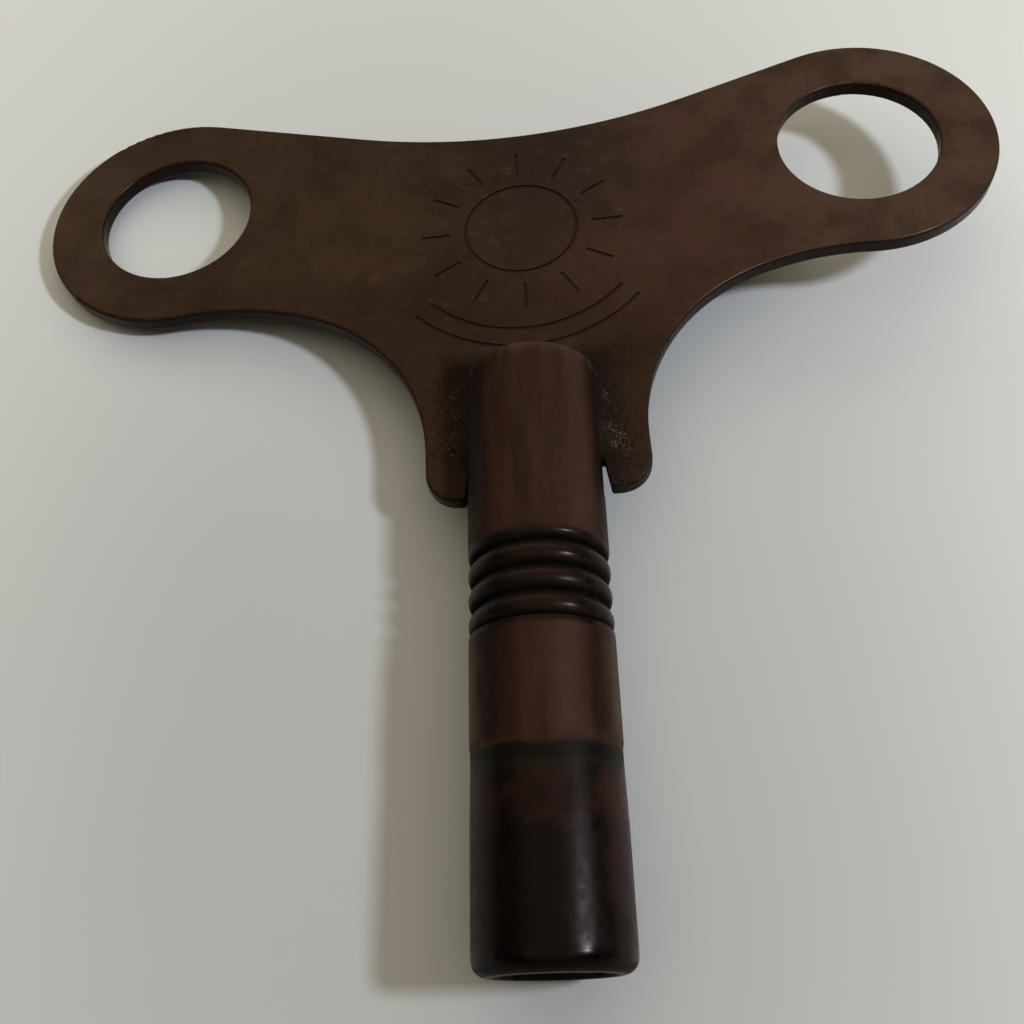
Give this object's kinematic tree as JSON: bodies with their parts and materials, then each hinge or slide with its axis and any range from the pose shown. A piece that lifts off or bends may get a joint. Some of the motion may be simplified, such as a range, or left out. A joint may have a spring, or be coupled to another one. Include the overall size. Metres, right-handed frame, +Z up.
{
  "type": "square-socket wing key",
  "caption": "Flat two-lobed brass wing soldered across a turned barrel with a square socket, for winding a clock or turning a square bleed valve.",
  "frame": {"origin": "centre of the square socket's mouth, on the barrel's axis", "axes": "the barrel runs along +Y to the wing; the wing is flat in XY with its two lobes along X; +Z is up, out of the wing's ornamented front"},
  "size_m": [0.0737, 0.0675, 0.009],
  "materials": {
    "barrel_brass": "turned brass under a warm dark-brown patina, satin",
    "wing_brass": "rolled sheet brass under a brown patina, satin",
    "solder": "rough, oxidised soft solder"
  },
  "bodies": {
    "root": {"barrel": "barrel_brass", "wing_plate": "wing_brass", "solder_front_left": "solder", "solder_front_right": "solder", "solder_back_left": "solder", "solder_back_right": "solder", "solder_slot_joint": "solder"}
  },
  "joints": []
}
